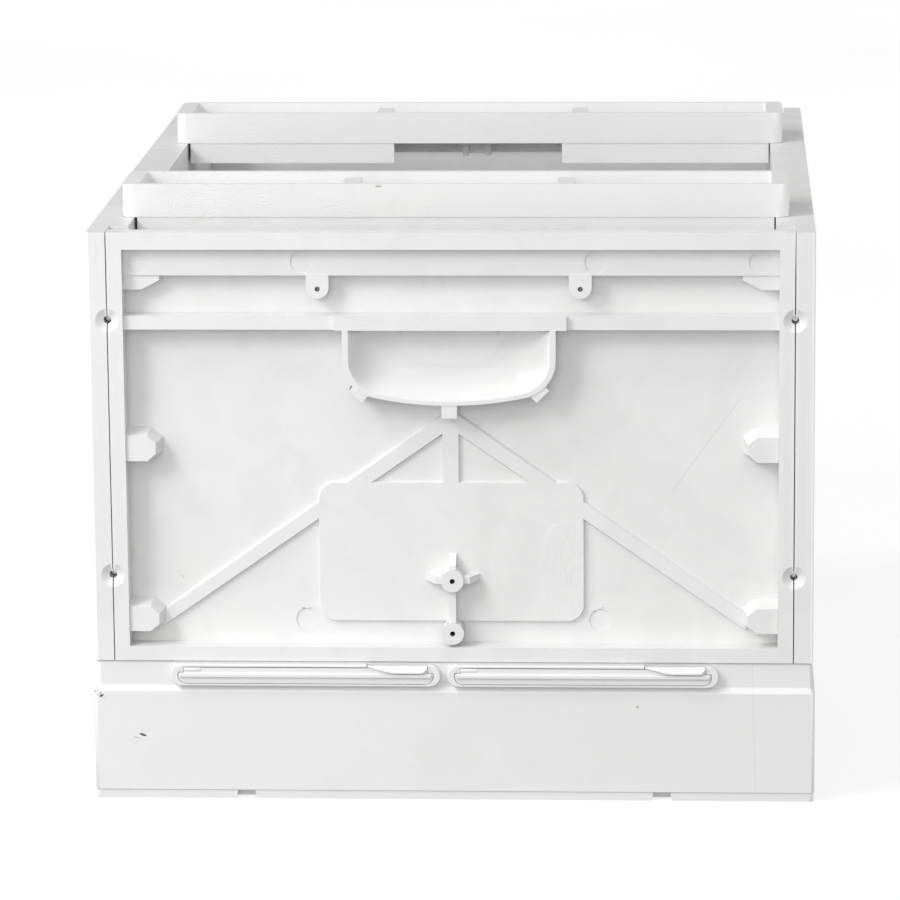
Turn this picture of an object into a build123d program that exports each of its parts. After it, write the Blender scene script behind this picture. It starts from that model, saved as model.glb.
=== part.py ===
"""Ten-frame plastic beehive: a brood box of four screwed walls on a ventilated base, with two trough bars.

Millimetres, +Z up. The origin is at the centre of the footprint, on the surface that the hive stands on.
The hive's front faces -Y.
"""

from build123d import *
import os

os.makedirs("parts", exist_ok=True)

# Brood box
BOX_WIDTH = 415.0
BOX_DEPTH = 510.0
BOX_HEIGHT = 251.0
WALL = 22.0  # full thickness of every wall, over its frame
PANEL = 7.0  # thickness of a wall behind its recess
LIP = 11.0  # side wall's outer lip, which laps the ends of the front and rear walls
CORNER_ROUND = 1.5
SEAM_GAP = 0.6  # between a lip and the wall that it laps
STILE = 8.7
TOP_RAIL = 10.0
BOTTOM_RAIL = 8.3

# Frame rest at the top of the front and rear walls
REST_LIP = 10.0  # wall left outside the frame rest
REST_FLOOR = 229.5
REST_SHELF = 4.3
BAND_SETBACK = 6.0
REST_NOSE = 0.8

# Rib and hand hold on each wall
RIB_LOW = 194.3
RIB_HIGH = 202.3
RIB_SETBACK = 3.0
RIB_PROUD_HALF = 66.3
HOLD_HALF = 61.0
HOLD_LOW = 150.8
HOLD_RIM = 3.4
HOLD_DEPTH = 14.0

# Raised pattern and fittings of the front and rear walls
RAISED = 2.2
RAISED_DRAFT = 0.9  # how far the flanks of the raised pattern slope in
PATTERN_X = -0.9  # the raised pattern, the hand hold and the lugs lie this much off the middle
PLATE_HALF = 77.1
PLATE_LOW = 20.4
PLATE_HIGH = 103.8
PLATE_CORNER = 10.5
STRIP_HEAD = (2.4, 138.8)
STRIP_HEAD_WIDTH = 10.4
STRIP_FOOT = (172.2, 19.1)
STRIP_FOOT_WIDTH = 8.7
SPINE_HALF = 5.4
LUG_X = 75.0
LUG_WIDTH = 13.0
LUG_HOLE_Z = 217.4
LUG_PROUD = 0.8  # how far a lug stands out from the band
BOSS_HEIGHTS = (47.5, 16.4)
BOSS_RADIUS = 6.5
PILOT_RADIUS = 1.5
PILOT_DEPTH = 12.0
EJECTOR_RADIUS = 6.5
EJECTOR_MARK = 0.6
BAND_MARKS = (-178.0, -84.7, 83.0, 176.3)
BAND_MARK_Z = 232.8
PANEL_MARK = (85.0, 21.5)

# Fasteners of the box corners
SCREW_HEIGHTS = (24.3, 124.9, 222.0)
SCREW_INSET = 11.0  # from the front or rear face
SCREW_RADIUS = 2.0
SCREW_LENGTH = 32.0
SCREW_HEAD_RADIUS = 4.4
SCREW_HEAD = 2.8
SCREW_WELL = 5.2
SCREW_BUMP = 20.3  # how far a screw boss reaches in from the stile
SCREW_BOSS_HALF = 10.4
SCREW_BOSS_TAPER = 13.0
TOP_BOSS_LOW = 215.5
TOP_BOSS_BUMP = 22.0
TOP_BOSS_SETBACK = 0.8  # behind the band
PIN_HEIGHTS = (50.5, 200.0)
PIN_RADIUS = 2.2
PIN_DEPTH = 19.0
PIN_INSET = 10.0
PIN_CONE_RADIUS = 6.8
PIN_CONE_DEPTH = 2.4

# Trough bars
BAR_LENGTH = 386.0
BAR_WIDTH = 52.0
BAR_HEIGHT = 19.3
BAR_SKIN = 4.0
BAR_END = 10.0
BAR_FLOOR = 3.0
BAR_CORNER = 6.0
BAR_SHIFT = 0.3  # the bars lie this much right of the middle
TONGUE_HALF = 184.2
TONGUE_DROP = 12.7
TONGUE_INSET = 0.4
TONGUE_SKIN = 3.0
NOTCH_HALF = 53.5
FRONT_BAR_Y = -176.0
REAR_BAR_Y = 117.5

# Base
BASE_HEIGHT = 81.8
BOX_GAP = 0.5  # between the base and the brood box
BAND_HALF_X = 206.7
BAND_HALF_Y = 254.2
SKIRT_STEP = 2.0  # how far the skirt stands out from the band
SKIRT_TOP = 64.2
BAND_LOW = 67.6
SKIRT_WALL = 6.0
FOOT_HEIGHT = 5.0
FOOT_GAP = 0.25
FOOT_WIDTH = 20.0
FOOT_NOTCH_X = 120.7
FOOT_NOTCH = (4.8, 6.0)  # half widths of a foot notch, at its top and at the floor
DECK_LOW = 61.5
DECK_LEDGE = 6.5
SCREEN_LOW = 66.0
SCREEN_THICK = 3.0

# Entrance bezels and gates
ENTRANCE_X = (-85.2, 75.1)
ENTRANCE_Z = 74.5
BEZEL_LENGTH = 156.4
BEZEL_HEIGHT = 12.9
BEZEL_PROUD = 4.6
SLEEVE_SKIN = 0.8
SLEEVE_DEPTH = 12.0
SLOT_LENGTH = 148.6
SLOT_HEIGHT = 10.2
GATE_GAP = 0.4
GATE_FRONT = -0.9  # faces of the flap, measured back from the hinge line
GATE_BACK = 0.8
HINGE_RISE = 3.3  # hinge line above the middle of the slot
HINGE_PROUD = 3.4  # hinge line in front of the band
GATE_BARREL = 1.4
GATE_PIN_RADIUS = 0.7
GATE_PIN_SPAN = (66.0, 76.3)
KNUCKLE_SPAN = (61.0, 70.6)
SHOULDER_Z = 1.5  # above the middle of the slot; the flap is shorter from here up
CHEEK_X = 71.0
RIB_END = 72.8
TAB_TIP = 3.3
TAB_ROOT = (36.0, 70.6)
TAB_EDGE = (51.7, 67.7)

# Monitoring tray
TRAY_LEDGE_TOP = 40.0
TRAY_LEDGE = 18.0
TRAY_HEIGHT = 12.0
TRAY_SKIN = 2.4
FASCIA_HEIGHT = 16.0
PULL_HALF = 42.0
PULL_LIP = 3.0

FIT_GAP = 0.3
LIFT_GAP = 0.2
PANEL_FACE = WALL - PANEL  # depth of a wall's recess
BOX_LOW = BASE_HEIGHT + BOX_GAP
BOX_TOP = BOX_LOW + BOX_HEIGHT
INNER_X = BOX_WIDTH / 2 - WALL
INNER_Y = BOX_DEPTH / 2 - WALL
END_WALL_HALF = BOX_WIDTH / 2 - LIP - SEAM_GAP
OPENING_HALF = END_WALL_HALF - STILE
SIDE_OPENING = INNER_Y - 10.0
SEAM_X = BOX_WIDTH / 2 - LIP - SEAM_GAP / 2
SKIRT_HALF_X = BAND_HALF_X + SKIRT_STEP
SKIRT_HALF_Y = BAND_HALF_Y + SKIRT_STEP
SHELL_LOW = FOOT_HEIGHT + FOOT_GAP
CAVITY_X = SKIRT_HALF_X - SKIRT_WALL
CAVITY_Y = SKIRT_HALF_Y - SKIRT_WALL
HINGE_Y = -BAND_HALF_Y - HINGE_PROUD
HINGE_Z = ENTRANCE_Z + HINGE_RISE

FRONT_FACE = Plane(origin=(0, -BOX_DEPTH / 2, BOX_LOW), x_dir=(1, 0, 0), z_dir=(0, -1, 0))
REAR_FACE = Plane(origin=(0, BOX_DEPTH / 2, BOX_LOW), x_dir=(-1, 0, 0), z_dir=(0, 1, 0))
RIGHT_FACE = Plane(origin=(BOX_WIDTH / 2, 0, BOX_LOW), x_dir=(0, 1, 0), z_dir=(1, 0, 0))
LEFT_FACE = Plane(origin=(-BOX_WIDTH / 2, 0, BOX_LOW), x_dir=(0, -1, 0), z_dir=(-1, 0, 0))
BAND_FACE = Plane(origin=(0, -BAND_HALF_Y, 0), x_dir=(1, 0, 0), z_dir=(0, -1, 0))
FOOT_SCREWS = [
    (sx * (CAVITY_X - 4.3), y) for sx in (-1, 1) for y in (-232.0, 0.0, 232.0)
] + [(x, sy * (CAVITY_Y - 4.3)) for sy in (-1, 1) for x in (-90.0, 90.0)]


def slab(face, across, up, depth, mode=Mode.ADD):
    """A block on a wall: its spans across and up the face, and its span of depth behind the face."""
    with BuildSketch(face.offset(-depth[1])) as outline:
        with Locations(((across[0] + across[1]) / 2, (up[0] + up[1]) / 2)):
            Rectangle(across[1] - across[0], up[1] - up[0])
    extrude(outline.sketch, amount=depth[1] - depth[0], mode=mode)


def off_middle(face, depth):
    """A plane behind a face that is centred on the raised pattern."""
    moved = Plane(origin=face.origin + face.x_dir * PATTERN_X, x_dir=face.x_dir, z_dir=face.z_dir)
    return moved.offset(-depth)


def level_block(x, y, z, mode=Mode.ADD):
    """A block given by its spans along X, Y and Z."""
    with BuildSketch(Plane.XY.offset(z[0])) as outline:
        with Locations(((x[0] + x[1]) / 2, (y[0] + y[1]) / 2)):
            Rectangle(x[1] - x[0], y[1] - y[0])
    extrude(outline.sketch, amount=z[1] - z[0], mode=mode)


def round_hole(face, points, radius, depth, start=0.0):
    """Round holes of one radius in a face, from a start depth to a full depth."""
    with BuildSketch(face.offset(-start)) as outline:
        with Locations(*points):
            Circle(radius)
    extrude(outline.sketch, amount=start - depth, mode=Mode.SUBTRACT)


def hold_outline(plane, half, top, low, corner, sag):
    """The U-shaped outline of a hand hold, with a bowed lower edge."""
    with BuildSketch(plane) as outline:
        with BuildLine():
            Line((half, low + sag), (half, top))
            Line((half, top), (-half, top))
            Line((-half, top), (-half, low + sag))
            ThreePointArc((-half, low + sag), (0, low), (half, low + sag))
        make_face()
        fillet(outline.vertices().group_by(Axis.Y)[0], radius=corner)
    return outline.sketch


def hand_hold(face):
    """Rim and hollow of a hand hold under the rib, with its three stop tabs."""
    rim = hold_outline(off_middle(face, PANEL_FACE), HOLD_HALF, RIB_LOW + 1, HOLD_LOW, 22, 9)
    extrude(rim, amount=PANEL_FACE)
    slab(off_middle(face, 0), (-4.4, 4.4), (143.2, HOLD_LOW + 1), (0.4, PANEL_FACE))
    for side in (-1, 1):
        with BuildSketch(off_middle(face, PANEL_FACE)) as tab:
            with Locations(Location((side * 51.0, 158.6, 0), (0, 0, side * 45))):
                Rectangle(10, 7.5)
        extrude(tab.sketch, amount=PANEL_FACE - 0.4)
    mouth = hold_outline(off_middle(face, -0.01), HOLD_HALF - HOLD_RIM, RIB_LOW, HOLD_LOW + 2.2, 20, 8.5)
    middle = hold_outline(off_middle(face, HOLD_DEPTH * 0.6), 50, RIB_LOW, 158, 14, 7)
    back = hold_outline(off_middle(face, HOLD_DEPTH), 27, RIB_LOW, 172.5, 8, 3)
    loft([mouth, middle, back], mode=Mode.SUBTRACT)


def screw_boss(face, half, height, side):
    """Tapered boss that a corner screw runs into, on the inner side of a stile."""
    with BuildSketch(face.offset(-PANEL_FACE)) as outline:
        with BuildLine():
            Polyline(
                (side * (half + 3), height - SCREW_BOSS_HALF),
                (side * (half - SCREW_BUMP + 7), height - SCREW_BOSS_HALF),
                (side * (half - SCREW_BUMP), height - 4.5),
                (side * (half - SCREW_BUMP), height + 4.5),
                (side * (half - SCREW_BUMP + 7), height + SCREW_BOSS_HALF),
                (side * (half + 3), height + SCREW_BOSS_HALF),
                close=True,
            )
        make_face()
    extrude(outline.sketch, amount=PANEL_FACE - 1.6, taper=SCREW_BOSS_TAPER)


def top_screw_boss(face, half, side):
    """Boss of a top corner screw, which runs up into the band of the frame rest."""
    with BuildSketch(face.offset(-PANEL_FACE)) as outline:
        with BuildLine():
            Polyline(
                (side * (half + 2), TOP_BOSS_LOW),
                (side * (half - TOP_BOSS_BUMP + 11.5), TOP_BOSS_LOW),
                (side * (half - TOP_BOSS_BUMP), TOP_BOSS_LOW + 6),
                (side * (half - TOP_BOSS_BUMP), REST_FLOOR - 2),
                (side * (half + 2), REST_FLOOR - 2),
                close=True,
            )
        make_face()
    extrude(outline.sketch, amount=PANEL_FACE - BAND_SETBACK - TOP_BOSS_SETBACK, taper=9)


def raised_pattern(face):
    """Raised plate, spine and the two strips that run down to the lower corners."""
    with BuildSketch(off_middle(face, PANEL_FACE)) as pattern:
        with Locations((0, (PLATE_LOW + PLATE_HIGH) / 2)):
            RectangleRounded(2 * PLATE_HALF, PLATE_HIGH - PLATE_LOW, PLATE_CORNER)
        with Locations((0, (PLATE_HIGH + HOLD_LOW) / 2 - 2)):
            Rectangle(2 * SPINE_HALF, HOLD_LOW - PLATE_HIGH)
        run = (Vector(*STRIP_FOOT) - Vector(*STRIP_HEAD)).normalized()
        edge = Vector(-run.Y, run.X)
        for side in (-1, 1):
            corners = [
                Vector(*STRIP_HEAD) + edge * (STRIP_HEAD_WIDTH / 2),
                Vector(*STRIP_FOOT) + edge * (STRIP_FOOT_WIDTH / 2),
                Vector(*STRIP_FOOT) - edge * (STRIP_FOOT_WIDTH / 2),
                Vector(*STRIP_HEAD) - edge * (STRIP_HEAD_WIDTH / 2),
            ]
            with BuildLine():
                Polyline(*[(side * corner.X, corner.Y) for corner in corners], close=True)
            make_face()
    with BuildPart(mode=Mode.PRIVATE) as raised:
        extrude(pattern.sketch, amount=RAISED)
        top = raised.faces().sort_by(Axis(face.origin, face.z_dir))[-1]
        chamfer(top.edges(), length=RAISED_DRAFT, length2=RAISED - 0.1, reference=top)
    add(raised.part)


def pilot_bosses():
    """Two pilot bosses on the centre line, with a web between them and gussets round the upper one."""
    with BuildSketch(FRONT_FACE.offset(-PANEL_FACE)) as bosses:
        with Locations(*[(0, z) for z in BOSS_HEIGHTS]):
            Circle(BOSS_RADIUS)
    extrude(bosses.sketch, amount=PANEL_FACE - 0.6)
    slab(FRONT_FACE, (-1.9, 1.9), (BOSS_HEIGHTS[1], BOSS_HEIGHTS[0]), (4, PANEL_FACE))
    edge_on = Plane(origin=FRONT_FACE.origin, x_dir=(0, 1, 0), z_dir=(1, 0, 0))
    with BuildSketch(edge_on) as upright:
        with BuildLine():
            Polyline((3, 47), (3, 56), (PANEL_FACE, 63), (PANEL_FACE, 47), close=True)
        make_face()
    extrude(upright.sketch, amount=2, both=True)
    flat = Plane(origin=FRONT_FACE.origin + Vector(0, 0, BOSS_HEIGHTS[0]))
    with BuildSketch(flat) as crosswise:
        with BuildLine():
            Polyline((-10, 3), (10, 3), (17, PANEL_FACE), (-17, PANEL_FACE), close=True)
        make_face()
    extrude(crosswise.sketch, amount=2, both=True)


def pin_seats(face):
    """Holes on the two seams of a face for its corner pins, each with a shallow cone."""
    seats = [(side * SEAM_X, z) for side in (-1, 1) for z in PIN_HEIGHTS]
    round_hole(face, seats, PIN_RADIUS + 0.05, PIN_DEPTH)
    with Locations(face.offset(-PIN_CONE_DEPTH / 2)):
        with Locations(*seats):
            Cone(PIN_RADIUS + 0.2, PIN_CONE_RADIUS, PIN_CONE_DEPTH, mode=Mode.SUBTRACT)


# Front wall: a moulded panel with a frame, a frame rest, a rib, a hand hold and fittings
with BuildPart() as front_wall:
    whole = (-END_WALL_HALF, END_WALL_HALF)
    slab(FRONT_FACE, whole, (0, REST_FLOOR), (PANEL_FACE, WALL))
    slab(FRONT_FACE, whole, (REST_FLOOR - REST_SHELF, BOX_HEIGHT), (BAND_SETBACK, REST_LIP))
    slab(FRONT_FACE, whole, (REST_FLOOR - REST_SHELF, REST_FLOOR), (BAND_SETBACK, WALL))
    nose = (-INNER_X + FIT_GAP, INNER_X - FIT_GAP)
    slab(FRONT_FACE, nose, (REST_FLOOR - REST_SHELF, REST_FLOOR), (WALL, WALL + REST_NOSE))
    slab(FRONT_FACE, whole, (BOX_HEIGHT - TOP_RAIL, BOX_HEIGHT), (0, REST_LIP))
    slab(FRONT_FACE, whole, (0, BOTTOM_RAIL), (0, PANEL_FACE))
    for side in (-1, 1):
        stile = sorted((side * OPENING_HALF, side * END_WALL_HALF))
        slab(FRONT_FACE, stile, (0, REST_FLOOR), (0, WALL))
        slab(FRONT_FACE, stile, (0, BOX_HEIGHT), (0, REST_LIP))
    # rib, with its middle proud of its ends
    slab(FRONT_FACE, (-OPENING_HALF, OPENING_HALF), (RIB_LOW, RIB_HIGH), (RIB_SETBACK, PANEL_FACE))
    slab(FRONT_FACE, (-RIB_PROUD_HALF, RIB_PROUD_HALF), (RIB_LOW, RIB_HIGH), (0, PANEL_FACE))
    hand_hold(FRONT_FACE)
    raised_pattern(FRONT_FACE)
    pilot_bosses()
    for side in (-1, 1):
        top_screw_boss(FRONT_FACE, OPENING_HALF, side)
        for height in SCREW_HEIGHTS[:2]:
            screw_boss(FRONT_FACE, OPENING_HALF, height, side)
    # lugs that hang from the band
    lug_centres = [PATTERN_X - LUG_X, PATTERN_X + LUG_X]
    lug_face = BAND_SETBACK - LUG_PROUD
    for x in lug_centres:
        lug = (x - LUG_WIDTH / 2, x + LUG_WIDTH / 2)
        slab(FRONT_FACE, lug, (LUG_HOLE_Z + 1, REST_FLOOR - REST_SHELF + 0.4), (lug_face, PANEL_FACE))
    with BuildSketch(FRONT_FACE.offset(-PANEL_FACE)):
        with Locations(*[(x, LUG_HOLE_Z + 1) for x in lug_centres]):
            Circle(LUG_WIDTH / 2)
    extrude(amount=PANEL_FACE - lug_face)
    # ejector marks on the band and in the panel
    band_marks = [(x, BAND_MARK_Z) for x in BAND_MARKS]
    round_hole(FRONT_FACE, band_marks, EJECTOR_RADIUS, BAND_SETBACK + EJECTOR_MARK, BAND_SETBACK)
    panel_marks = [(side * PANEL_MARK[0], PANEL_MARK[1]) for side in (-1, 1)]
    round_hole(FRONT_FACE, panel_marks, EJECTOR_RADIUS, PANEL_FACE + EJECTOR_MARK, PANEL_FACE - RAISED)
    # clear the frame rest above its floor
    slab(FRONT_FACE, whole, (REST_FLOOR, BOX_HEIGHT), (REST_LIP, WALL + 2), Mode.SUBTRACT)
    # pilot holes, screw holes and pin seats
    pilots = [(0, z) for z in BOSS_HEIGHTS] + [(x, LUG_HOLE_Z) for x in lug_centres]
    round_hole(FRONT_FACE, pilots, PILOT_RADIUS, PILOT_DEPTH)
    screw_end = SCREW_WELL + SCREW_LENGTH + 1.5
    front_screws = -BOX_DEPTH / 2 + SCREW_INSET
    round_hole(RIGHT_FACE, [(front_screws, z) for z in SCREW_HEIGHTS], SCREW_RADIUS + 0.05, screw_end)
    round_hole(LEFT_FACE, [(-front_screws, z) for z in SCREW_HEIGHTS], SCREW_RADIUS + 0.05, screw_end)
    pin_seats(FRONT_FACE)

# Rear wall: the same moulding, turned round
with BuildPart() as rear_wall:
    add(front_wall.part.rotate(Axis.Z, 180))

# Right wall: full depth, with lips that lap the ends of the front and rear walls
with BuildPart() as right_wall:
    slab(RIGHT_FACE, (-BOX_DEPTH / 2, BOX_DEPTH / 2), (0, BOX_HEIGHT), (0, LIP))
    fillet(right_wall.edges().filter_by(Axis.Z).group_by(Axis.X)[-1], radius=CORNER_ROUND)
    slab(RIGHT_FACE, (-INNER_Y + 1, INNER_Y - 1), (0, BOX_HEIGHT), (0, WALL))
    opening = (-SIDE_OPENING, SIDE_OPENING)
    slab(RIGHT_FACE, opening, (BOTTOM_RAIL, BOX_HEIGHT - TOP_RAIL), (0, PANEL_FACE), Mode.SUBTRACT)
    slab(RIGHT_FACE, opening, (REST_FLOOR - REST_SHELF, BOX_HEIGHT - TOP_RAIL), (BAND_SETBACK, PANEL_FACE))
    slab(RIGHT_FACE, opening, (RIB_LOW, RIB_HIGH), (RIB_SETBACK, PANEL_FACE))
    slab(RIGHT_FACE, (-RIB_PROUD_HALF, RIB_PROUD_HALF), (RIB_LOW, RIB_HIGH), (0, PANEL_FACE))
    hand_hold(RIGHT_FACE)
    raised_pattern(RIGHT_FACE)
    for y in (-146.0, 146.0):
        slab(RIGHT_FACE, (y - 2, y + 2), (BOTTOM_RAIL, RIB_LOW), (RIB_SETBACK, PANEL_FACE))
    screw_points = [(sy * front_screws, z) for sy in (-1, 1) for z in SCREW_HEIGHTS]
    round_hole(RIGHT_FACE, screw_points, SCREW_RADIUS + 0.3, WALL)
    round_hole(RIGHT_FACE, screw_points, SCREW_HEAD_RADIUS + 0.4, SCREW_WELL)
    pin_seats(FRONT_FACE)
    pin_seats(REAR_FACE)

# Left wall: the same moulding, turned round
with BuildPart() as left_wall:
    add(right_wall.part.rotate(Axis.Z, 180))

# Screws of the right wall: pan head with a cross recess
with BuildPart() as right_wall_screws:
    with BuildSketch(RIGHT_FACE.offset(-SCREW_WELL)):
        with Locations(*screw_points):
            Circle(SCREW_HEAD_RADIUS)
    extrude(amount=SCREW_HEAD)
    fillet(right_wall_screws.edges().group_by(Axis.X)[-1], radius=1.2)
    with BuildSketch(RIGHT_FACE.offset(-SCREW_WELL)):
        with Locations(*screw_points):
            Circle(SCREW_RADIUS)
    extrude(amount=-SCREW_LENGTH)
    with BuildSketch(RIGHT_FACE.offset(-SCREW_WELL + SCREW_HEAD)):
        with Locations(*screw_points):
            Rectangle(4.6, 1.0)
            Rectangle(1.0, 4.6)
    extrude(amount=-1.6, mode=Mode.SUBTRACT)

with BuildPart() as left_wall_screws:
    add(right_wall_screws.part.rotate(Axis.Z, 180))

# Corner pins of the front seams
with BuildPart() as front_corner_pins:
    with BuildSketch(FRONT_FACE.offset(-PIN_DEPTH + 0.3)):
        with Locations(*[(side * SEAM_X, z) for side in (-1, 1) for z in PIN_HEIGHTS]):
            Circle(PIN_RADIUS)
    extrude(amount=PIN_DEPTH - 0.3 - PIN_INSET)
    chamfer(front_corner_pins.edges().group_by(Axis.Y)[0], length=0.5)

with BuildPart() as rear_corner_pins:
    add(front_corner_pins.part.rotate(Axis.Z, 180))


def trough_bar(centre_y, notch_side):
    """An open trough that lies across the side walls, with a skirt that drops between them."""
    low = Plane(origin=(BAR_SHIFT, centre_y, BOX_TOP + LIFT_GAP))
    half = BAR_WIDTH / 2
    buttresses = (-59.5 - BAR_SHIFT, 64.5 - BAR_SHIFT)
    with BuildPart() as bar:
        with BuildSketch(low):
            RectangleRounded(BAR_LENGTH, BAR_WIDTH, BAR_CORNER)
        extrude(amount=BAR_HEIGHT)
        with BuildSketch(low.offset(BAR_FLOOR)):
            RectangleRounded(BAR_LENGTH - 2 * BAR_END, BAR_WIDTH - 2 * BAR_SKIN, 2)
        extrude(amount=BAR_HEIGHT, mode=Mode.SUBTRACT)
        # buttresses behind the front skin, with a lower web across the rest of the trough
        with BuildSketch(low):
            with Locations(*[(x, -half + BAR_SKIN + 10) for x in buttresses]):
                Rectangle(10, 22)
        extrude(amount=BAR_HEIGHT)
        with BuildSketch(low):
            with Locations(*[(x, 0) for x in buttresses]):
                Rectangle(4, BAR_WIDTH - BAR_SKIN)
        extrude(amount=BAR_HEIGHT - 9)
        # skirt, open below, with a notch in the side that faces the middle of the hive
        with BuildSketch(low):
            Rectangle(2 * TONGUE_HALF, BAR_WIDTH - 2 * TONGUE_INSET)
            Rectangle(
                2 * TONGUE_HALF - 2 * TONGUE_SKIN,
                BAR_WIDTH - 2 * TONGUE_INSET - 2 * TONGUE_SKIN,
                mode=Mode.SUBTRACT,
            )
        extrude(amount=-TONGUE_DROP)
        with BuildSketch(low):
            with Locations((-BAR_SHIFT, notch_side * (half - 5))):
                Rectangle(2 * NOTCH_HALF, 10)
        extrude(amount=-TONGUE_DROP, mode=Mode.SUBTRACT)
        # clip under the floor: two tabs on a short back plate
        with BuildSketch(low):
            with Locations((-2.6, -notch_side * 9.5)):
                Rectangle(18, 2.4)
        extrude(amount=-TONGUE_DROP + 1.5)
        with BuildSketch(low):
            with Locations((-9.8, -notch_side * 7.5), (4.6, -notch_side * 7.5)):
                Rectangle(3.6, 6.4)
        extrude(amount=-TONGUE_DROP)
    return bar.part


with BuildPart() as front_trough_bar:
    add(trough_bar(FRONT_BAR_Y, 1))

with BuildPart() as rear_trough_bar:
    add(trough_bar(REAR_BAR_Y, -1))

# Base shell: a stepped ring that carries the box, on a skirt
with BuildPart() as base_shell:
    with BuildSketch(Plane.XY.offset(SHELL_LOW)):
        RectangleRounded(2 * SKIRT_HALF_X, 2 * SKIRT_HALF_Y, 2)
    extrude(amount=SKIRT_TOP - SHELL_LOW)
    with BuildSketch(Plane.XY.offset(SKIRT_TOP)):
        RectangleRounded(2 * SKIRT_HALF_X, 2 * SKIRT_HALF_Y, 2)
    with BuildSketch(Plane.XY.offset(BAND_LOW)):
        RectangleRounded(2 * BAND_HALF_X, 2 * BAND_HALF_Y, 2)
    loft()
    with BuildSketch(Plane.XY.offset(BAND_LOW)):
        RectangleRounded(2 * BAND_HALF_X, 2 * BAND_HALF_Y, 2)
    extrude(amount=BASE_HEIGHT - BAND_LOW)
    chamfer(base_shell.edges().group_by(Axis.Z)[-1], length=0.8)
    level_block((-CAVITY_X, CAVITY_X), (-CAVITY_Y, CAVITY_Y), (0, DECK_LOW), Mode.SUBTRACT)
    ledge_x = INNER_X - DECK_LEDGE
    ledge_y = INNER_Y - DECK_LEDGE
    level_block((-ledge_x, ledge_x), (-ledge_y, ledge_y), (0, SCREEN_LOW), Mode.SUBTRACT)
    level_block((-INNER_X, INNER_X), (-INNER_Y, INNER_Y), (SCREEN_LOW, BASE_HEIGHT), Mode.SUBTRACT)
    # ledges that the tray slides on, and ribs under the deck
    for side in (-1, 1):
        runner = sorted((side * (CAVITY_X + 1), side * (CAVITY_X - TRAY_LEDGE)))
        level_block(runner, (-CAVITY_Y + 20, CAVITY_Y), (TRAY_LEDGE_TOP - 3, TRAY_LEDGE_TOP))
        for y in (-180.0, -60.0, 60.0, 180.0):
            level_block(runner, (y - 2, y + 2), (SHELL_LOW + 8, TRAY_LEDGE_TOP - 1))
            level_block(runner, (y - 2, y + 2), (TRAY_LEDGE_TOP + TRAY_HEIGHT + 2, DECK_LOW + 1))
        for x in (-140.0, 0.0, 140.0):
            front_rib = (-CAVITY_Y - 1, -CAVITY_Y + 18)
            level_block((x - 2, x + 2), front_rib, (SHELL_LOW + 8, DECK_LOW + 1))
    # slot in the rear skirt for the tray
    tray_slot = (TRAY_LEDGE_TOP - 0.4, TRAY_LEDGE_TOP + FASCIA_HEIGHT + 0.8)
    slot_half = CAVITY_X - 0.6
    level_block((-slot_half, slot_half), (CAVITY_Y - 2, SKIRT_HALF_Y + 2), tray_slot, Mode.SUBTRACT)
    # entrance slots through the front of the ring
    with BuildSketch(BAND_FACE.offset(-BAND_HALF_Y + INNER_Y - 2)):
        with Locations(*[(x, ENTRANCE_Z) for x in ENTRANCE_X]):
            SlotOverall(SLOT_LENGTH + 2 * SLEEVE_SKIN + 0.2, SLOT_HEIGHT + 2 * SLEEVE_SKIN + 0.2)
    extrude(amount=WALL + 6, mode=Mode.SUBTRACT)
    # columns for the foot frame's screws
    with BuildSketch(Plane.XY.offset(SHELL_LOW)):
        with Locations(*FOOT_SCREWS):
            Circle(4.6)
    extrude(amount=22)
    with BuildSketch(Plane.XY.offset(SHELL_LOW)):
        with Locations(*FOOT_SCREWS):
            Circle(1.7)
    extrude(amount=18, mode=Mode.SUBTRACT)

# Foot frame: a thin ring screwed under the skirt, with notches front and rear
with BuildPart() as foot_frame:
    with BuildSketch(Plane.XY):
        RectangleRounded(2 * SKIRT_HALF_X - 1, 2 * SKIRT_HALF_Y - 1, 2)
        Rectangle(
            2 * SKIRT_HALF_X - 1 - 2 * FOOT_WIDTH,
            2 * SKIRT_HALF_Y - 1 - 2 * FOOT_WIDTH,
            mode=Mode.SUBTRACT,
        )
    extrude(amount=FOOT_HEIGHT)
    for face_y in (-SKIRT_HALF_Y, SKIRT_HALF_Y):
        with BuildSketch(Plane(origin=(0, face_y, 0), x_dir=(1, 0, 0), z_dir=(0, -1, 0))):
            for x in (-FOOT_NOTCH_X, FOOT_NOTCH_X):
                with BuildLine():
                    Polyline(
                        (x - FOOT_NOTCH[1], -0.1),
                        (x + FOOT_NOTCH[1], -0.1),
                        (x + FOOT_NOTCH[0], FOOT_HEIGHT + 0.1),
                        (x - FOOT_NOTCH[0], FOOT_HEIGHT + 0.1),
                        close=True,
                    )
                make_face()
        extrude(amount=8, both=True, mode=Mode.SUBTRACT)
    with Locations(*[(x, y, 0) for x, y in FOOT_SCREWS]):
        CounterSinkHole(1.9, 4.0, depth=FOOT_HEIGHT, counter_sink_angle=90)

# Screws of the foot frame, driven from below
with BuildPart() as foot_frame_screws:
    with BuildSketch(Plane.XY.offset(0.4)):
        with Locations(*FOOT_SCREWS):
            Circle(1.55)
    extrude(amount=18)
    with Locations(*[(x, y, 0.4 + 1.1) for x, y in FOOT_SCREWS]):
        Cone(3.4, 1.55, 2.2)
    with BuildSketch(Plane.XY.offset(0.4)):
        with Locations(*FOOT_SCREWS):
            Rectangle(3.6, 0.9)
            Rectangle(0.9, 3.6)
    extrude(amount=1.2, mode=Mode.SUBTRACT)

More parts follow.
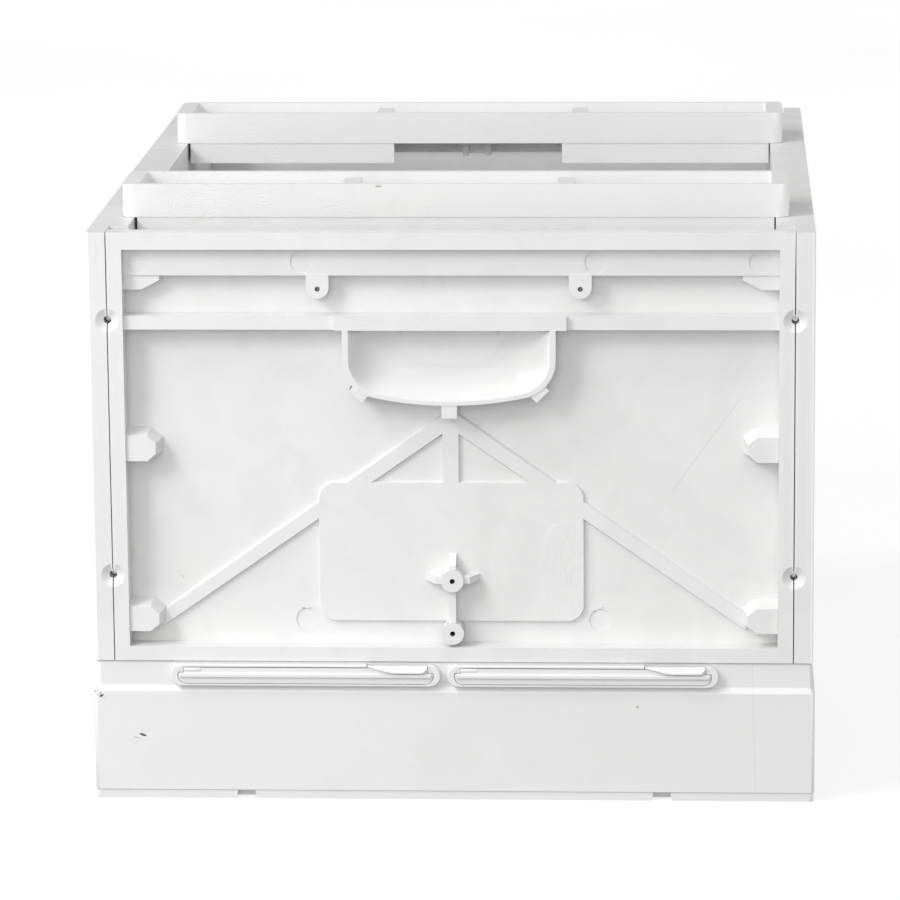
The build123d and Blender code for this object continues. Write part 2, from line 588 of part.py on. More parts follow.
# Ventilated floor: a slotted plate on the ledge inside the ring
with BuildPart() as floor_screen:
    with BuildSketch(Plane.XY.offset(SCREEN_LOW + 0.05)):
        Rectangle(2 * (INNER_X - FIT_GAP), 2 * (INNER_Y - FIT_GAP))
        with GridLocations(58.0, 7.6, 6, 56):
            SlotOverall(52.0, 3.4, mode=Mode.SUBTRACT)
    extrude(amount=SCREEN_THICK)


def entrance_bezel(centre_x):
    """Raised pill-shaped rim round an entrance, with a sleeve that fits in the ring's slot."""
    with BuildPart() as bezel:
        with BuildSketch(BAND_FACE):
            with Locations((centre_x, ENTRANCE_Z)):
                SlotOverall(BEZEL_LENGTH, BEZEL_HEIGHT)
        extrude(amount=BEZEL_PROUD)
        chamfer(bezel.edges().group_by(Axis.Y)[0], length=0.5)
        with BuildSketch(BAND_FACE):
            with Locations((centre_x, ENTRANCE_Z)):
                SlotOverall(SLOT_LENGTH + 2 * SLEEVE_SKIN, SLOT_HEIGHT + 2 * SLEEVE_SKIN)
        extrude(amount=-SLEEVE_DEPTH)
        with BuildSketch(BAND_FACE.offset(BEZEL_PROUD + 1)):
            with Locations((centre_x, ENTRANCE_Z)):
                SlotOverall(SLOT_LENGTH, SLOT_HEIGHT)
        extrude(amount=-BEZEL_PROUD - SLEEVE_DEPTH - 3, mode=Mode.SUBTRACT)
        # gap in the upper rim for the gate's thumb tab
        low_z = ENTRANCE_Z + SLOT_HEIGHT / 2 - 1.2
        tab_gap = (centre_x + TAB_ROOT[0] - 0.6, centre_x + TAB_ROOT[1] + 0.5)
        tab_depth = (-BAND_HALF_Y - BEZEL_PROUD - 1, -BAND_HALF_Y - 0.2)
        level_block(tab_gap, tab_depth, (low_z, ENTRANCE_Z + BEZEL_HEIGHT), Mode.SUBTRACT)
        # cheeks that fill the slot's upper corners beside the hinge
        for side in (-1, 1):
            cheek_x = sorted((centre_x + side * CHEEK_X, centre_x + side * (SLOT_LENGTH / 2 + 0.2)))
            cheek_y = (HINGE_Y + GATE_FRONT, HINGE_Y + GATE_BACK)
            cheek_z = (ENTRANCE_Z + SHOULDER_Z + GATE_GAP, ENTRANCE_Z + SLOT_HEIGHT / 2 + 0.1)
            level_block(cheek_x, cheek_y, cheek_z)
        # blind seats of the hinge pins
        with Locations(Location((centre_x, HINGE_Y, HINGE_Z), (0, 90, 0))):
            Cylinder(GATE_PIN_RADIUS, 2 * GATE_PIN_SPAN[1], mode=Mode.SUBTRACT)
    return bezel.part


def entrance_gate(centre_x):
    """Flap hinged along its top edge, with a rib across it and a thumb tab at its right."""
    middle = Plane(origin=(centre_x, HINGE_Y, HINGE_Z), x_dir=(0, 1, 0), z_dir=(1, 0, 0))
    drop = -HINGE_RISE - SLOT_HEIGHT / 2 + GATE_GAP
    shoulder = ENTRANCE_Z + SHOULDER_Z
    with BuildPart() as tab:
        with BuildSketch(middle.offset(TAB_ROOT[0])):
            with BuildLine():
                Polyline(
                    (-0.3, 2.8),
                    (-1.2, 2.8),
                    (-TAB_TIP, -0.5),
                    (-TAB_TIP, -1.3),
                    (-TAB_TIP + 0.8, -1.3),
                    (GATE_FRONT - 0.2, 1.0),
                    (-0.3, 1.0),
                    close=True,
                )
            make_face()
        extrude(amount=TAB_ROOT[1] - TAB_ROOT[0])
        with BuildSketch(Plane(origin=(centre_x, HINGE_Y - 8, HINGE_Z), x_dir=(1, 0, 0), z_dir=(0, -1, 0))):
            with BuildLine():
                Polyline(
                    (TAB_ROOT[0], 3),
                    (TAB_ROOT[0], 2.2),
                    (TAB_EDGE[0], -1.4),
                    (TAB_EDGE[1], -1.4),
                    (TAB_ROOT[1], 1.6),
                    (TAB_ROOT[1], 3),
                    close=True,
                )
            make_face()
        extrude(amount=-10, mode=Mode.INTERSECT)
    with BuildPart() as gate:
        with BuildSketch(BAND_FACE.offset(HINGE_PROUD - GATE_BACK)):
            with Locations((centre_x, ENTRANCE_Z)):
                SlotOverall(SLOT_LENGTH - 2 * GATE_GAP, SLOT_HEIGHT - 2 * GATE_GAP)
        extrude(amount=GATE_BACK - GATE_FRONT)
        # the flap stops short of the cheeks and has a rounded top
        for side in (-1, 1):
            beside = sorted((centre_x + side * KNUCKLE_SPAN[1], centre_x + side * SLOT_LENGTH / 2))
            level_block(beside, (HINGE_Y - 3, HINGE_Y + 3), (shoulder, shoulder + 8), Mode.SUBTRACT)
        level_block(
            (centre_x - SLOT_LENGTH / 2, centre_x + SLOT_LENGTH / 2),
            (HINGE_Y - 3, HINGE_Y + 3),
            (HINGE_Z + 1.2, HINGE_Z + 4),
            Mode.SUBTRACT,
        )
        # rib
        with BuildSketch(middle.offset(-RIB_END)):
            with BuildLine():
                Polyline(
                    (GATE_FRONT + 0.1, -1.8),
                    (-1.8, -2.1),
                    (-2.2, -2.5),
                    (-2.2, -4.1),
                    (-1.8, -4.5),
                    (GATE_FRONT + 0.1, -4.8),
                    close=True,
                )
            make_face()
        extrude(amount=2 * RIB_END)
        # hinge knuckles at both ends, bored for the pins
        for start in (-KNUCKLE_SPAN[1], KNUCKLE_SPAN[0]):
            with BuildSketch(middle.offset(start)):
                Circle(GATE_BARREL)
            extrude(amount=KNUCKLE_SPAN[1] - KNUCKLE_SPAN[0])
        add(tab.part)
        for start in (-KNUCKLE_SPAN[1] - 0.5, GATE_PIN_SPAN[0] - 0.5):
            with BuildSketch(middle.offset(start)):
                Circle(GATE_PIN_RADIUS + 0.05)
            extrude(amount=KNUCKLE_SPAN[1] - GATE_PIN_SPAN[0] + 1, mode=Mode.SUBTRACT)
    return gate.part


def gate_pins(centre_x):
    """Two short hinge pins, one at each end of a gate."""
    length = GATE_PIN_SPAN[1] - GATE_PIN_SPAN[0]
    middle = (GATE_PIN_SPAN[1] + GATE_PIN_SPAN[0]) / 2
    with BuildPart() as pins:
        for side in (-1, 1):
            with Locations(Location((centre_x + side * middle, HINGE_Y, HINGE_Z), (0, 90, 0))):
                Cylinder(GATE_PIN_RADIUS, length)
    return pins.part


with BuildPart() as left_entrance_bezel:
    add(entrance_bezel(ENTRANCE_X[0]))

with BuildPart() as right_entrance_bezel:
    add(entrance_bezel(ENTRANCE_X[1]))

with BuildPart() as left_entrance_gate:
    add(entrance_gate(ENTRANCE_X[0]))

with BuildPart() as right_entrance_gate:
    add(entrance_gate(ENTRANCE_X[1]))

with BuildPart() as left_gate_pins:
    add(gate_pins(ENTRANCE_X[0]))

with BuildPart() as right_gate_pins:
    add(gate_pins(ENTRANCE_X[1]))

# Monitoring tray: slides out through the rear skirt
with BuildPart() as monitoring_tray:
    tray_low = TRAY_LEDGE_TOP + LIFT_GAP
    tray_half = CAVITY_X - 1.3
    tray_front = -CAVITY_Y + 22
    tray_rear = SKIRT_HALF_Y - 0.2
    level_block((-tray_half, tray_half), (tray_front, tray_rear), (tray_low, tray_low + TRAY_HEIGHT - 0.5))
    inner = tray_half - TRAY_SKIN
    inner_y = (tray_front + TRAY_SKIN, tray_rear - 3)
    level_block((-inner, inner), inner_y, (tray_low + 2, tray_low + TRAY_HEIGHT), Mode.SUBTRACT)
    level_block((-tray_half, tray_half), (tray_rear - 3, tray_rear), (tray_low, tray_low + FASCIA_HEIGHT))
    # pull: a lip with a bead along its lower edge
    pull_rear = -HINGE_Y + TAB_TIP
    pull_top = tray_low + FASCIA_HEIGHT - PULL_LIP
    level_block((-PULL_HALF, PULL_HALF), (tray_rear - 1, pull_rear), (pull_top - PULL_LIP, pull_top))
    bead_low = pull_top - 1.6 * PULL_LIP
    level_block((-PULL_HALF, PULL_HALF), (pull_rear - 1.6, pull_rear), (bead_low, pull_top))

PIECES = {
    "front_wall": front_wall,
    "rear_wall": rear_wall,
    "left_wall": left_wall,
    "right_wall": right_wall,
    "left_wall_screws": left_wall_screws,
    "right_wall_screws": right_wall_screws,
    "front_corner_pins": front_corner_pins,
    "rear_corner_pins": rear_corner_pins,
    "front_trough_bar": front_trough_bar,
    "rear_trough_bar": rear_trough_bar,
    "base_shell": base_shell,
    "foot_frame": foot_frame,
    "foot_frame_screws": foot_frame_screws,
    "floor_screen": floor_screen,
    "left_entrance_bezel": left_entrance_bezel,
    "right_entrance_bezel": right_entrance_bezel,
    "left_entrance_gate": left_entrance_gate,
    "right_entrance_gate": right_entrance_gate,
    "left_gate_pins": left_gate_pins,
    "right_gate_pins": right_gate_pins,
    "monitoring_tray": monitoring_tray,
}
for name, piece in PIECES.items():
    piece.part.label = name
    export_step(piece.part, f"parts/{name}.step")
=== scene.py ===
"""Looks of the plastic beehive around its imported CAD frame, in metres on the part's own axes."""

import math

import bpy
from mathutils import Matrix, Vector

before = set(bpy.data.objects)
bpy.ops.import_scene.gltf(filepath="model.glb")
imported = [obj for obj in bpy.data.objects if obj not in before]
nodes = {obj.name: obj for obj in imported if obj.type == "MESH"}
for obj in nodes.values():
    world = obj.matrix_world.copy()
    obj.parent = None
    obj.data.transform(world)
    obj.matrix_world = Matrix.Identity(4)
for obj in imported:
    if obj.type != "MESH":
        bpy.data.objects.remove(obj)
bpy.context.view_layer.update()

scene = bpy.context.scene

CAMERA_PLACE = (0.148, -2.963, 0.7813)
CAMERA_PITCH = 11.95
CAMERA_YAW = 3.14
CAMERA_ROLL = -0.50
CAMERA_LENS = 193.8
CAMERA_SENSOR = 36.0
CAMERA_REACH = (0.1, 100.0)
FLOOR_HALF = 40.0
SKY_STRENGTH = 0.34
WELD_REACH = 0.00001
BEVEL_FROM_DEGREES = 38

WHITE = (0.716, 0.716, 0.715, 1)
WHITE_WARM = (0.694, 0.693, 0.689, 1)
GRIME = (0.30, 0.29, 0.27, 1)
SMUDGE = (0.55, 0.545, 0.53, 1)
BLACK_CHIP = (0.015, 0.014, 0.013, 1)
SCRATCH_GREY = (0.46, 0.46, 0.455, 1)
WORN_EDGE = (0.88, 0.88, 0.875, 1)
ZINC_DARK = (0.50, 0.50, 0.51, 1)
ZINC_LIGHT = (0.66, 0.665, 0.68, 1)
ZINC_DULL = (0.33, 0.32, 0.31, 1)
RUST = (0.30, 0.19, 0.11, 1)
SHEET_LIGHT = (0.225, 0.225, 0.225, 1)
SHEET_DARK = (0.205, 0.205, 0.205, 1)
GLOW_LIGHT = (1, 1, 1, 1)
GLOW_DARK = (0.99, 0.99, 0.988, 1)
GLOW_STRENGTH = 0.80


# ---------------------------------------------------------------- shader graphs

class Graph:
    """A node material with short ways to add and join nodes."""

    def __init__(self, name):
        self.material = bpy.data.materials.new(name)
        self.material.use_nodes = True
        self.tree = self.material.node_tree
        self.shader = self.tree.nodes["Principled BSDF"]
        self.place = self.add("ShaderNodeTexCoord").outputs["Object"]

    def add(self, kind, inputs=None, **settings):
        made = self.tree.nodes.new(kind)
        for key, value in settings.items():
            setattr(made, key, value)
        for key, value in (inputs or {}).items():
            self.feed(made.inputs[key], value)
        return made

    def feed(self, socket, value):
        if isinstance(value, bpy.types.NodeSocket):
            self.tree.links.new(value, socket)
        else:
            socket.default_value = value

    def math(self, operation, *values, clamp=False):
        made = self.add("ShaderNodeMath", dict(enumerate(values)), operation=operation, use_clamp=clamp)
        return made.outputs[0]

    def step(self, value, low, high):
        """0 below low, 1 above high, smooth between; falls instead of rising where low is above high."""
        made = self.add(
            "ShaderNodeMapRange",
            {"Value": value, "From Min": low, "From Max": high},
            interpolation_type="SMOOTHSTEP",
        )
        return made.outputs[0]

    def axes(self):
        """The place's x, y and z."""
        return self.add("ShaderNodeSeparateXYZ", {"Vector": self.place}).outputs

    def stretched(self, scale, turn=(0, 0, 0)):
        """The place with its axes scaled and turned, for noise that is longer one way than the other."""
        made = self.add("ShaderNodeMapping", {"Vector": self.place, "Scale": scale, "Rotation": turn})
        return made.outputs[0]

    def noise(self, scale, detail=3, distortion=0.0, place=None, roughness=0.55):
        made = self.add(
            "ShaderNodeTexNoise",
            {
                "Vector": place or self.place,
                "Scale": scale,
                "Detail": detail,
                "Distortion": distortion,
                "Roughness": roughness,
            },
        )
        return made.outputs["Fac"]

    def specks(self, scale, size, keep):
        """Small round specks: size is a share of a cell, and keep is the share of cells without one."""
        made = self.add("ShaderNodeTexVoronoi", {"Vector": self.place, "Scale": scale})
        apart = self.add("ShaderNodeSeparateColor", {"Color": made.outputs["Color"]})
        near = self.step(made.outputs["Distance"], size, size * 0.5)
        return self.math("MULTIPLY", near, self.step(apart.outputs[0], keep, keep + 0.01))

    def hairlines(self, scale, width, place):
        """Thin wandering lines: the places where a slow noise passes through its middle value."""
        away = self.math("ABSOLUTE", self.math("SUBTRACT", self.noise(scale, 1, place=place), 0.5))
        return self.step(away, width, width * 0.25)

    def blob(self, centre, radii, ragged=0.0, ragged_scale=900.0, turn=(0, 0, 0)):
        """1 inside an ellipsoid, 0 outside, with a ragged edge if ragged is more than 0."""
        moved = self.add("ShaderNodeVectorMath", {0: self.place, 1: centre}, operation="SUBTRACT")
        turned = self.add(
            "ShaderNodeVectorRotate",
            {"Vector": moved.outputs[0], "Rotation": turn},
            rotation_type="EULER_XYZ",
        )
        shares = self.add(
            "ShaderNodeVectorMath",
            {0: turned.outputs[0], 1: tuple(1 / r for r in radii)},
            operation="MULTIPLY",
        )
        length = self.add("ShaderNodeVectorMath", {0: shares.outputs[0]}, operation="LENGTH")
        far = length.outputs["Value"]
        if ragged:
            wobble = self.math("SUBTRACT", self.noise(ragged_scale, 2), 0.5)
            far = self.math("ADD", far, self.math("MULTIPLY", wobble, ragged))
        return self.step(far, 1.08, 0.86)

    def most(self, *masks):
        """The greatest of the masks at each place."""
        total = masks[0]
        for mask in masks[1:]:
            total = self.math("MAXIMUM", total, mask)
        return total

    def mix(self, share, under, over):
        """The colour under, covered by the colour over where share is 1."""
        made = self.add("ShaderNodeMix", data_type="RGBA")
        self.feed(made.inputs[0], share)
        self.feed(made.inputs[6], under)
        self.feed(made.inputs[7], over)
        return made.outputs[2]

    def faded(self, mask, strength):
        return self.math("MULTIPLY", mask, strength)

    def bumps(self, *layers):
        """Stacks (height, distance in metres, strength) layers into one normal."""
        normal = None
        for height, distance, strength in layers:
            inputs = {"Height": height, "Distance": distance, "Strength": strength}
            if normal is not None:
                inputs["Normal"] = normal
            normal = self.add("ShaderNodeBump", inputs).outputs[0]
        return normal

    def finish(self, colour, roughness, normal, **shader_inputs):
        """Joins everything to the shader and gives back the material."""
        self.feed(self.shader.inputs["Base Color"], colour)
        self.feed(self.shader.inputs["Roughness"], roughness)
        self.feed(self.shader.inputs["Normal"], normal)
        for key, value in shader_inputs.items():
            self.feed(self.shader.inputs[key.replace("_", " ")], value)
        return self.material


# ---------------------------------------------------------------- plastics

def toned(colour, tone):
    """The colour made lighter or darker, still opaque."""
    return tuple(c * tone for c in colour[:3]) + (1,)


def moulded_plastic(name, tone, smudges, scratches, specks, marks=None, relief=None):
    """Satin white polypropylene with flow mottling, fine grain, dust, handling marks and worn edges."""
    g = Graph(name)
    broad = g.noise(4.5, 3, 0.4)
    mottle = g.noise(34.0, 4, 0.6)
    colour = g.mix(g.step(broad, 0.32, 0.70), toned(WHITE, tone), toned(WHITE_WARM, tone))
    colour = g.mix(g.faded(g.step(mottle, 0.50, 0.72), 0.07), colour, SMUDGE)
    # rubbed streaks and finger smudges
    streaks = g.noise(13.0, 4, 1.2, g.stretched((1.0, 3.4, 0.8), (0.3, 0.2, 0.5)))
    patches = g.step(g.noise(7.0, 2), 0.50, 0.66)
    rubbed = g.math("MULTIPLY", g.step(streaks, 0.56, 0.74), patches)
    colour = g.mix(g.faded(rubbed, 0.22 * smudges), colour, SMUDGE)
    # dust specks and tiny dark dots
    dust = g.specks(70.0, 0.05, 0.90)
    dots = g.specks(26.0, 0.018, 0.90)
    colour = g.mix(g.faded(dust, 0.30 * specks), colour, SMUDGE)
    colour = g.mix(g.faded(dots, 0.75 * specks), colour, GRIME)
    # fine scratches in two directions
    where = g.step(g.noise(6.0, 2, 0.0, g.stretched((1.1, 0.9, 1.3), (0.9, 0.1, 0.4))), 0.52, 0.62)
    long_ones = g.hairlines(7.0, 0.0016, g.stretched((1.0, 1.0, 3.0), (0.2, 0.7, 0.3)))
    short_ones = g.hairlines(19.0, 0.0022, g.stretched((2.6, 1.0, 0.8), (0.5, 0.9, 0.1)))
    scratched = g.math("MULTIPLY", g.most(long_ones, short_ones), where)
    colour = g.mix(g.faded(scratched, 0.34 * scratches), colour, SCRATCH_GREY)
    # worn, slightly polished edges
    edge = g.step(g.add("ShaderNodeNewGeometry").outputs["Pointiness"], 0.515, 0.56)
    edge = g.math("MULTIPLY", edge, g.step(mottle, 0.36, 0.60))
    colour = g.mix(g.faded(edge, 0.16), colour, WORN_EDGE)
    # slow sink marks and the fine grain of the mould
    sink = g.noise(14.0, 1)
    grain = g.noise(150.0, 3, 0.3, roughness=0.75)
    layers = [(sink, 0.0010, 0.10), (grain, 0.00014, 0.35)]
    if marks:
        for share, ink in marks(g):
            colour = g.mix(share, colour, ink)
    if relief:
        layers += relief(g)
    rough = g.math("ADD", g.math("MULTIPLY", mottle, 0.24), 0.33)
    rough = g.math("SUBTRACT", rough, g.faded(edge, 0.08))
    rough = g.math("ADD", rough, g.faded(rubbed, 0.12 * smudges), clamp=True)
    return g.finish(colour, rough, g.bumps(*layers), IOR=1.49, Specular_IOR_Level=0.5)


# ---------------------------------------------------------------- marks and relief on single pieces

# the front wall's sunken panel, the plate on it, and the long scratch
PANEL_Y = -0.240
PLATE_Y = -0.241
SCRATCH_FOOT_X = 0.1282
SCRATCH_FOOT_Z = 0.1823
SCRATCH_RUN = 0.036
SCRATCH_RISE = 0.0499
SCRATCH_BEND = 0.006

# the base's front face, and the hairline down it
BASE_Y = -0.2562
HAIR_X = 0.1749
HAIR_LEAN = -0.028

BAR_NICK = (-0.0435, -0.2022, 0.3515)
BAR_SPOT = (-0.0075, -0.2024, 0.3210)

# where the lines cross a side wall's top, and the heights between which the top's marks come in
WITNESS_LINES_Y = (-0.100, 0.065, 0.208)
WALL_TOP_Z = (0.3322, 0.3330)


def front_wall_marks(g):
    """Long scratch up the panel, and grey flecks by the lower ejector rings and the lower left boss."""
    x, _, z = g.axes()
    bend = g.faded(g.math("SUBTRACT", g.noise(24.0, 1), 0.5), SCRATCH_BEND)
    # the scratch leans to the right, and along is 0 at its foot and 1 at its top
    along = g.math("DIVIDE", g.math("SUBTRACT", z, SCRATCH_FOOT_Z), SCRATCH_RISE)
    line_x = g.math("ADD", g.math("MULTIPLY", along, SCRATCH_RUN), SCRATCH_FOOT_X)
    off = g.math("ABSOLUTE", g.math("ADD", g.math("SUBTRACT", x, line_x), bend))
    line = g.step(off, 0.0007, 0.0002)
    span = g.math("MULTIPLY", g.step(along, -0.10, 0.02), g.step(along, 1.10, 0.96))
    scratch = g.math("MULTIPLY", line, span)
    flecks = g.step(g.noise(620.0, 3), 0.52, 0.60)
    flecked = g.most(
        g.blob((0.0832, PANEL_Y, 0.1097), (0.0062, 0.006, 0.0010), 0.3, 500.0, (0, 0.3, 0)),
        g.blob((-0.0857, PANEL_Y, 0.1100), (0.0048, 0.006, 0.0009), 0.3, 500.0),
        g.blob((-0.1575, PANEL_Y, 0.1290), (0.0030, 0.006, 0.0012), 0.5, 500.0),
    )
    return [
        (g.faded(scratch, 0.30), SCRATCH_GREY),
        (g.faded(g.math("MULTIPLY", flecked, flecks), 0.55), GRIME),
    ]


def front_wall_relief(g):
    """Shallow ripples towards the plate's right edge, left by the flow of the plastic."""
    waves = g.noise(210.0, 2, 1.4, g.stretched((2.2, 1.0, 0.7)))
    here = g.blob((0.066, PLATE_Y, 0.133), (0.016, 0.010, 0.034), 0.5, 60.0)
    return [(g.math("MULTIPLY", waves, here), 0.0005, 0.5)]


def base_marks(g):
    """Black chips at the left front corner, a small scuff, a dot and a hairline on the base's front."""
    corner = g.blob((-0.2058, BASE_Y, 0.0636), (0.0018, 0.004, 0.0050), 0.6, 300.0, (0, 0.75, 0))
    chips = g.math("MULTIPLY", corner, g.step(g.noise(760.0, 2), 0.55, 0.59))
    scuff = g.blob((-0.1806, BASE_Y, 0.0380), (0.0022, 0.003, 0.00075), 0.35, 900.0, (0, -0.35, 0))
    tail = g.blob((-0.1845, BASE_Y, 0.0365), (0.0024, 0.003, 0.0004), 0.35, 900.0, (0, -0.25, 0))
    dot = g.blob((0.1065, BASE_Y, 0.0563), (0.0009, 0.003, 0.0009), 0.2)
    # the hairline stands nearly upright, on the front face only
    x, y, z = g.axes()
    hair_x = g.math("ADD", g.math("MULTIPLY", z, HAIR_LEAN), HAIR_X)
    hair = g.step(g.math("ABSOLUTE", g.math("SUBTRACT", x, hair_x)), 0.00040, 0.00012)
    hair = g.math("MULTIPLY", hair, g.step(y, -0.25, -0.252))
    return [
        (g.faded(chips, 0.95), BLACK_CHIP),
        (g.faded(scuff, 0.92), BLACK_CHIP),
        (g.faded(tail, 0.55), GRIME),
        (g.faded(dot, 0.7), GRIME),
        (g.faded(hair, 0.22), SCRATCH_GREY),
    ]


def bar_marks(g):
    """A nick at the front bar's upper edge, a spot near its lower edge, and greasy finger marks."""
    nick = g.blob(BAR_NICK, (0.0021, 0.003, 0.0006), 0.9, 900.0)
    spot = g.blob(BAR_SPOT, (0.0014, 0.003, 0.0012), 0.4, 500.0)
    fingers = g.step(g.noise(16.0, 3, 1.5), 0.60, 0.74)
    return [
        (g.faded(nick, 0.75), GRIME),
        (g.faded(spot, 0.60), GRIME),
        (g.faded(fingers, 0.06), SMUDGE),
    ]


def swirl_relief(g):
    """Fine whorls like finger prints, in patches along a bar's faces."""
    whirl = g.noise(34.0, 2, 1.2, g.stretched((1.0, 1.0, 1.8)))
    rings = g.math("SINE", g.math("MULTIPLY", whirl, 150.0))
    patch = g.step(g.noise(11.0, 2, 0.0, g.stretched((1.0, 0.4, 1.0))), 0.46, 0.60)
    return [(g.math("MULTIPLY", rings, patch), 0.00007, 0.5)]


def wall_top_marks(g):
    """Fine witness lines across a side wall's top and rubbed dirt on it."""
    _, y, z = g.axes()
    gaps = [g.math("ABSOLUTE", g.math("SUBTRACT", y, line_y)) for line_y in WITNESS_LINES_Y]
    lines = g.most(*[g.step(gap, 0.00065, 0.0002) for gap in gaps])
    on_top = g.step(z, *WALL_TOP_Z)
    rub = g.step(g.noise(30.0, 5, 1.6, g.stretched((1.0, 0.5, 1.0))), 0.50, 0.72)
    return [
        (g.faded(g.math("MULTIPLY", lines, on_top), 0.55), GRIME),
        (g.faded(g.math("MULTIPLY", rub, on_top), 0.30), SMUDGE),
    ]


# ---------------------------------------------------------------- metal and floor

def zinc_steel():
    """Zinc-plated steel of the screws and pins: spangled, finely drawn and a little dulled."""
    g = Graph("zinc_steel")
    spangle = g.noise(900.0, 3)
    dull = g.noise(260.0, 3, 0.5)
    colour = g.mix(g.step(spangle, 0.40, 0.62), ZINC_DARK, ZINC_LIGHT)
    colour = g.mix(g.faded(g.step(dull, 0.55, 0.72), 0.45), colour, ZINC_DULL)
    stain = g.specks(420.0, 0.25, 0.93)
    colour = g.mix(g.faded(stain, 0.5), colour, RUST)
    drawn = g.noise(1400.0, 2, 0.0, g.stretched((0.08, 1.0, 1.0)))
    rough = g.math("ADD", g.math("MULTIPLY", dull, 0.35), 0.20)
    normal = g.bumps((drawn, 0.00003, 0.5), (spangle, 0.00002, 0.4))
    return g.finish(colour, rough, normal, Metallic=1.0)


def studio_floor():
    """White light table: a matte sheet lit from below, with a hardly visible tooth and drift of tone."""
    g = Graph("studio_floor")
    drift = g.noise(0.9, 2)
    tooth = g.noise(650.0, 3)
    drifted = g.step(drift, 0.3, 0.7)
    colour = g.mix(drifted, SHEET_LIGHT, SHEET_DARK)
    rough = g.math("ADD", g.math("MULTIPLY", tooth, 0.12), 0.80)
    return g.finish(
        colour,
        rough,
        g.bumps((tooth, 0.00005, 0.15)),
        Emission_Color=g.mix(drifted, GLOW_LIGHT, GLOW_DARK),
        Emission_Strength=GLOW_STRENGTH,
        Specular_IOR_Level=0.0,
    )


# ---------------------------------------------------------------- looks of the CAD nodes

# tone, smudges, scratches and specks come in that order
LOOKS = {
    "front_wall": moulded_plastic(
        "front_wall_plastic", 1.0, 0.35, 0.5, 0.35, front_wall_marks, front_wall_relief
    ),
    "rear_wall": moulded_plastic("rear_wall_plastic", 1.0, 0.6, 0.6, 0.5),
    "side_wall": moulded_plastic("side_wall_plastic", 1.0, 0.8, 0.6, 0.6, wall_top_marks),
    "bars": moulded_plastic("bar_plastic", 1.05, 0.4, 0.5, 0.6, bar_marks, swirl_relief),
    "base": moulded_plastic("base_plastic", 1.035, 0.3, 0.45, 0.35, base_marks),
    "fittings": moulded_plastic("fitting_plastic", 1.03, 0.3, 0.35, 0.3),
    "gates": moulded_plastic("gate_plastic", 1.02, 0.4, 0.5, 0.3),
    "screen": moulded_plastic("screen_plastic", 0.96, 0.7, 0.5, 1.0),
    "tray": moulded_plastic("tray_plastic", 0.985, 0.9, 0.9, 1.0),
    "steel": zinc_steel(),
}
LOOK_OF = {
    "front_wall": "front_wall",
    "rear_wall": "rear_wall",
    "front_trough_bar": "bars",
    "rear_trough_bar": "bars",
    "base_shell": "base",
    "foot_frame": "fittings",
    "floor_screen": "screen",
    "monitoring_tray": "tray",
}
EDGE_ROUND_PLASTIC = 0.0005
EDGE_ROUND_STEEL = 0.00015
EDGE_ROUND = {"base_shell": 0.0007, "floor_screen": 0.0}
for side in ("left", "right"):
    LOOK_OF[side + "_wall"] = "side_wall"
    LOOK_OF[side + "_entrance_bezel"] = "fittings"
    LOOK_OF[side + "_entrance_gate"] = "gates"
    EDGE_ROUND[side + "_entrance_bezel"] = 0.0002
    EDGE_ROUND[side + "_entrance_gate"] = 0.00015


def dress(name, node):
    """Gives a CAD node its material and rounds its edges; what is not a moulding is steel."""
    look = LOOK_OF.get(name, "steel")
    node.data.materials.clear()
    node.data.materials.append(LOOKS[look])
    usual = EDGE_ROUND_STEEL if look == "steel" else EDGE_ROUND_PLASTIC
    width = EDGE_ROUND.get(name, usual)
    if not width:
        return
    weld = node.modifiers.new("weld", "WELD")
    weld.merge_threshold = WELD_REACH
    bevel = node.modifiers.new("bevel", "BEVEL")
    bevel.width = width
    bevel.segments = 2
    bevel.limit_method = "ANGLE"
    bevel.angle_limit = math.radians(BEVEL_FROM_DEGREES)
    bevel.harden_normals = True


for name, node in nodes.items():
    dress(name, node)


# ---------------------------------------------------------------- floor, light and camera

def make_floor():
    signs = ((-1, -1), (1, -1), (1, 1), (-1, 1))
    corners = [(FLOOR_HALF * x, FLOOR_HALF * y, 0) for x, y in signs]
    mesh = bpy.data.meshes.new("floor")
    mesh.from_pydata(corners, [], [(0, 1, 2, 3)])
    mesh.materials.append(studio_floor())
    floor = bpy.data.objects.new("floor", mesh)
    scene.collection.objects.link(floor)
    floor.visible_diffuse = False


def lamp(name, kind, energy, towards, place=(0, 0, 0), glossy=True, **settings):
    """Adds a light that shines in the direction towards; glossy says whether surfaces mirror it."""
    data = bpy.data.lights.new(name, kind)
    data.energy = energy
    for key, value in settings.items():
        setattr(data, key, value)
    made = bpy.data.objects.new(name, data)
    made.location = place
    made.rotation_euler = Vector(towards).to_track_quat("-Z", "Y").to_euler()
    made.visible_glossy = glossy
    scene.collection.objects.link(made)


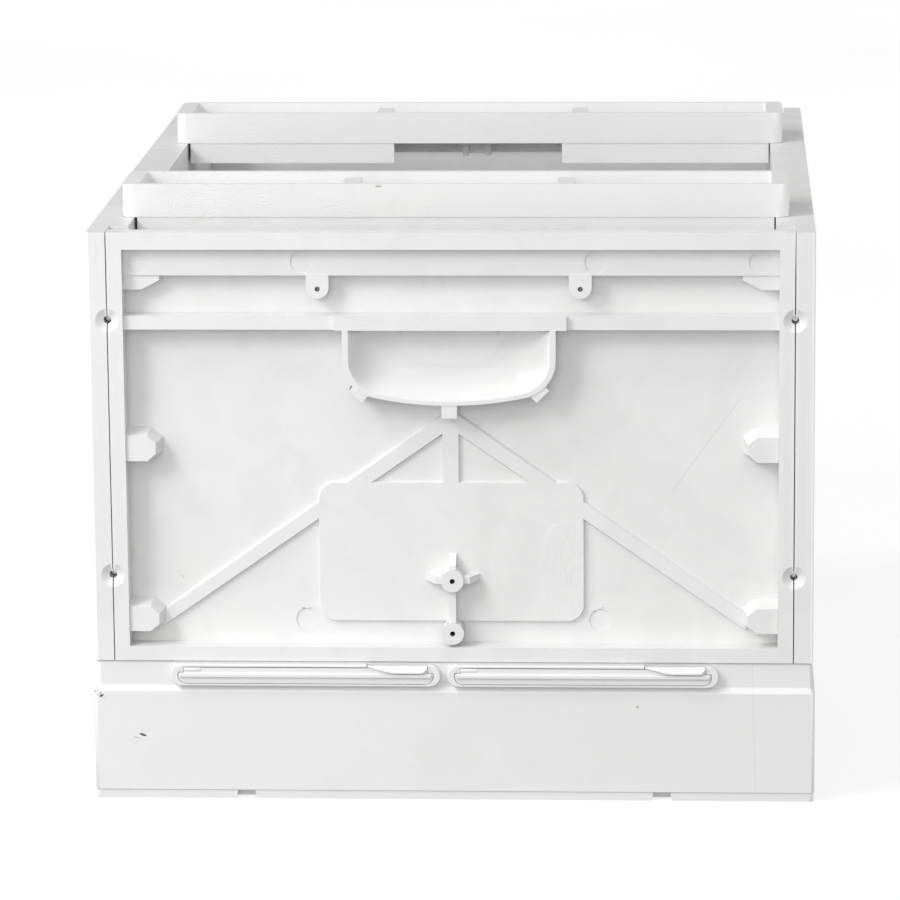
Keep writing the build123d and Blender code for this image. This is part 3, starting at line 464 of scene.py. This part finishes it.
def make_light():
    world = bpy.data.worlds.new("studio")
    scene.world = world
    world.use_nodes = True
    background = world.node_tree.nodes["Background"]
    background.inputs["Color"].default_value = (1, 1, 1, 1)
    background.inputs["Strength"].default_value = SKY_STRENGTH
    lamp("softbox", "SUN", 1.12, (0.05, 0.62, -0.78), angle=math.radians(90))
    lamp("fill", "SUN", 0.60, (0.04, 0.97, -0.22), angle=math.radians(30))
    # from the upper left, for the bars' shadows on the right wall's top
    lamp("window", "SUN", 0.75, (0.55, 0.25, -0.79), angle=math.radians(12))
    # two low lamps for the rear and the right side, without glare on the tops
    lamp("back", "SUN", 1.10, (-0.06, -1.0, -0.06), glossy=False, angle=math.radians(10))
    lamp("right", "SUN", 0.90, (-1.0, -0.03, -0.06), glossy=False, angle=math.radians(10))
    key_place = Vector((-1.12, -1.30, 1.28))
    key_aim = Vector((0.0, -0.25, 0.25))
    lamp("key", "AREA", 13.0, key_aim - key_place, key_place, shape="DISK", size=0.6)
    side_place = Vector((-1.30, -1.10, 0.45))
    side_aim = Vector((-0.1, -0.25, 0.2))
    lamp("side", "AREA", 4.0, side_aim - side_place, side_place, shape="DISK", size=0.8)


def look_matrix(place, pitch, yaw, roll):
    """World matrix of a camera from its place and its angles in radians; pitch is downwards."""
    right = Vector((math.cos(yaw), math.sin(yaw), 0))
    up = Vector((-math.sin(pitch) * math.sin(yaw), math.sin(pitch) * math.cos(yaw), math.cos(pitch)))
    ahead = Vector((-math.cos(pitch) * math.sin(yaw), math.cos(pitch) * math.cos(yaw), -math.sin(pitch)))
    across = right * math.cos(roll) + up * math.sin(roll)
    upwards = up * math.cos(roll) - right * math.sin(roll)
    rotation = Matrix((across, upwards, -ahead)).transposed()
    return Matrix.Translation(place) @ rotation.to_4x4()


def make_camera():
    data = bpy.data.cameras.new("camera")
    data.sensor_width = CAMERA_SENSOR
    data.lens = CAMERA_LENS
    data.clip_start, data.clip_end = CAMERA_REACH
    camera = bpy.data.objects.new("camera", data)
    scene.collection.objects.link(camera)
    angles = (math.radians(angle) for angle in (CAMERA_PITCH, CAMERA_YAW, CAMERA_ROLL))
    camera.matrix_world = look_matrix(CAMERA_PLACE, *angles)
    scene.camera = camera


make_floor()
make_light()
make_camera()
scene.view_settings.view_transform = "Standard"
scene.view_settings.look = "None"
